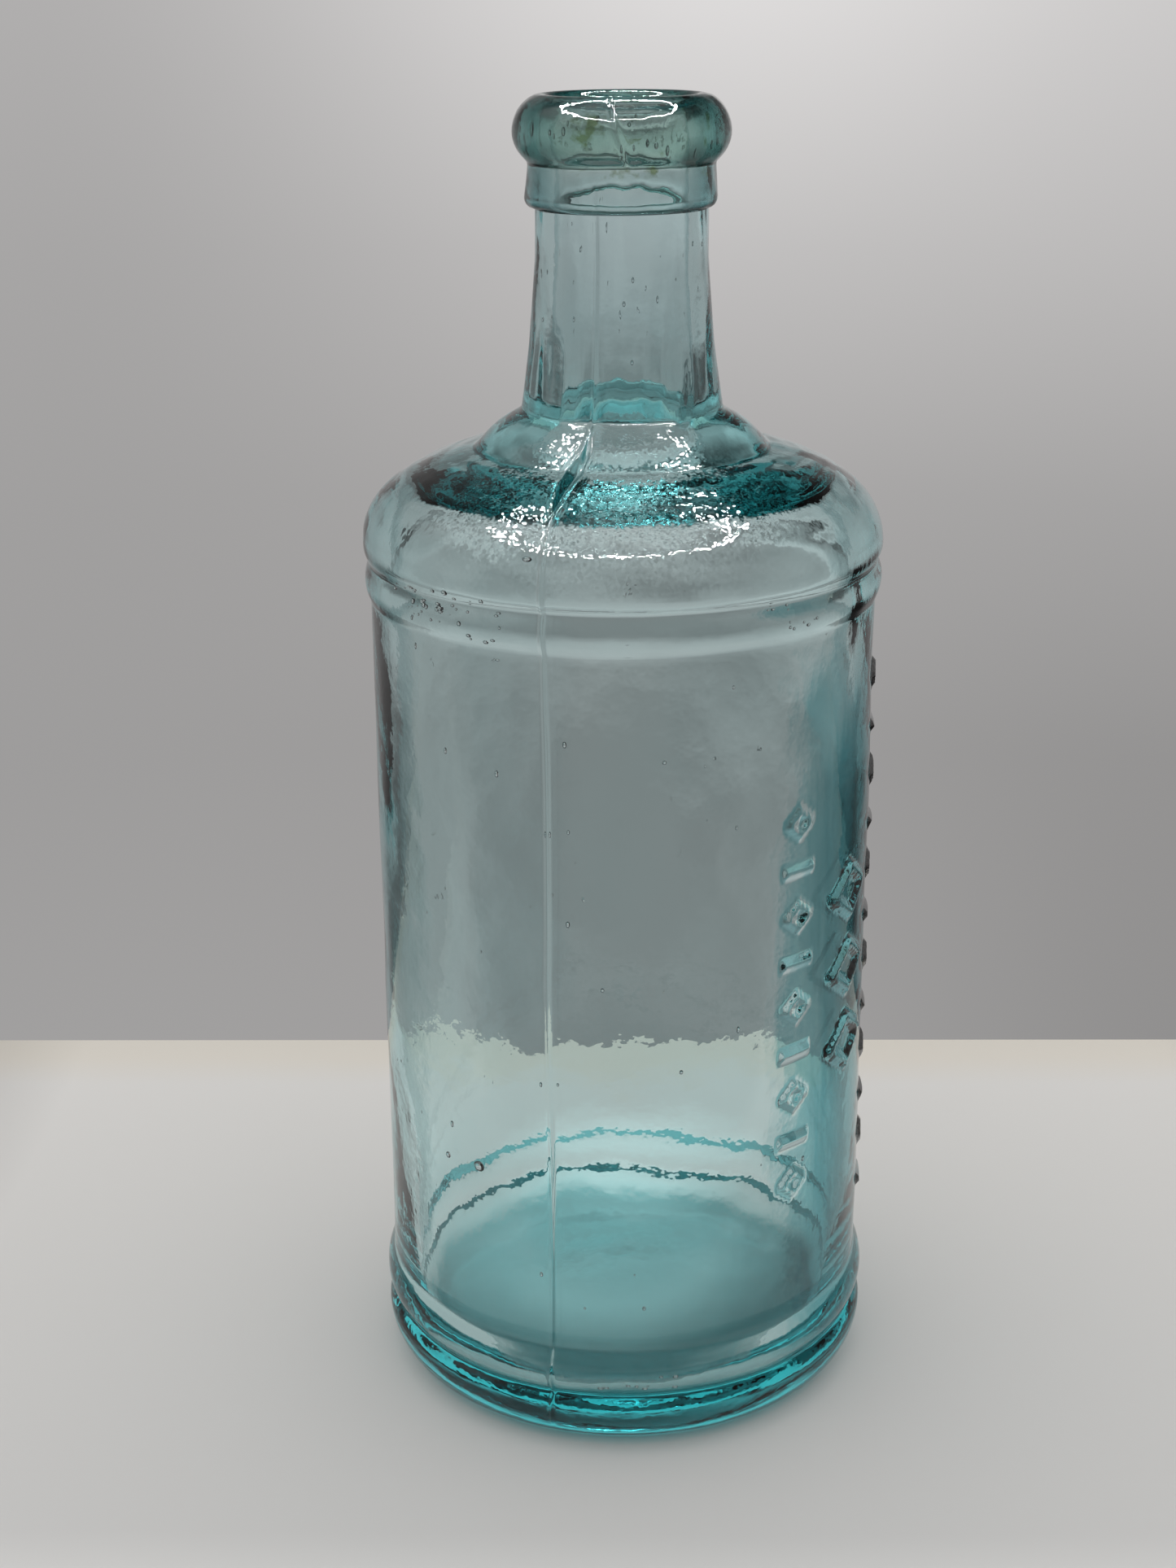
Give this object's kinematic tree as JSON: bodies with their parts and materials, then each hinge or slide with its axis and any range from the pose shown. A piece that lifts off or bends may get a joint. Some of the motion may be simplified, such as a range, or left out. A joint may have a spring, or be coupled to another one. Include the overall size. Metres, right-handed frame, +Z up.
{
  "type": "glass ink bottle",
  "caption": "Round mould-blown aqua glass bottle with ringed base and shoulder, tapered neck and a hand-laid rounded lip around a cork-sized mouth.",
  "frame": {"origin": "centre of the resting ring, on the surface that the bottle stands on", "axes": "+Z up along the bottle's axis, towards the mouth; -Y is the front, with a mould seam a little to its left"},
  "size_m": [0.0758, 0.0758, 0.1923],
  "materials": {
    "aqua_glass": "fire-polished, slightly wavy",
    "lip_glass": "tooled by hand, with seeds"
  },
  "bodies": {
    "root": {"bottle_body": "aqua_glass", "applied_lip": "lip_glass"}
  },
  "joints": []
}
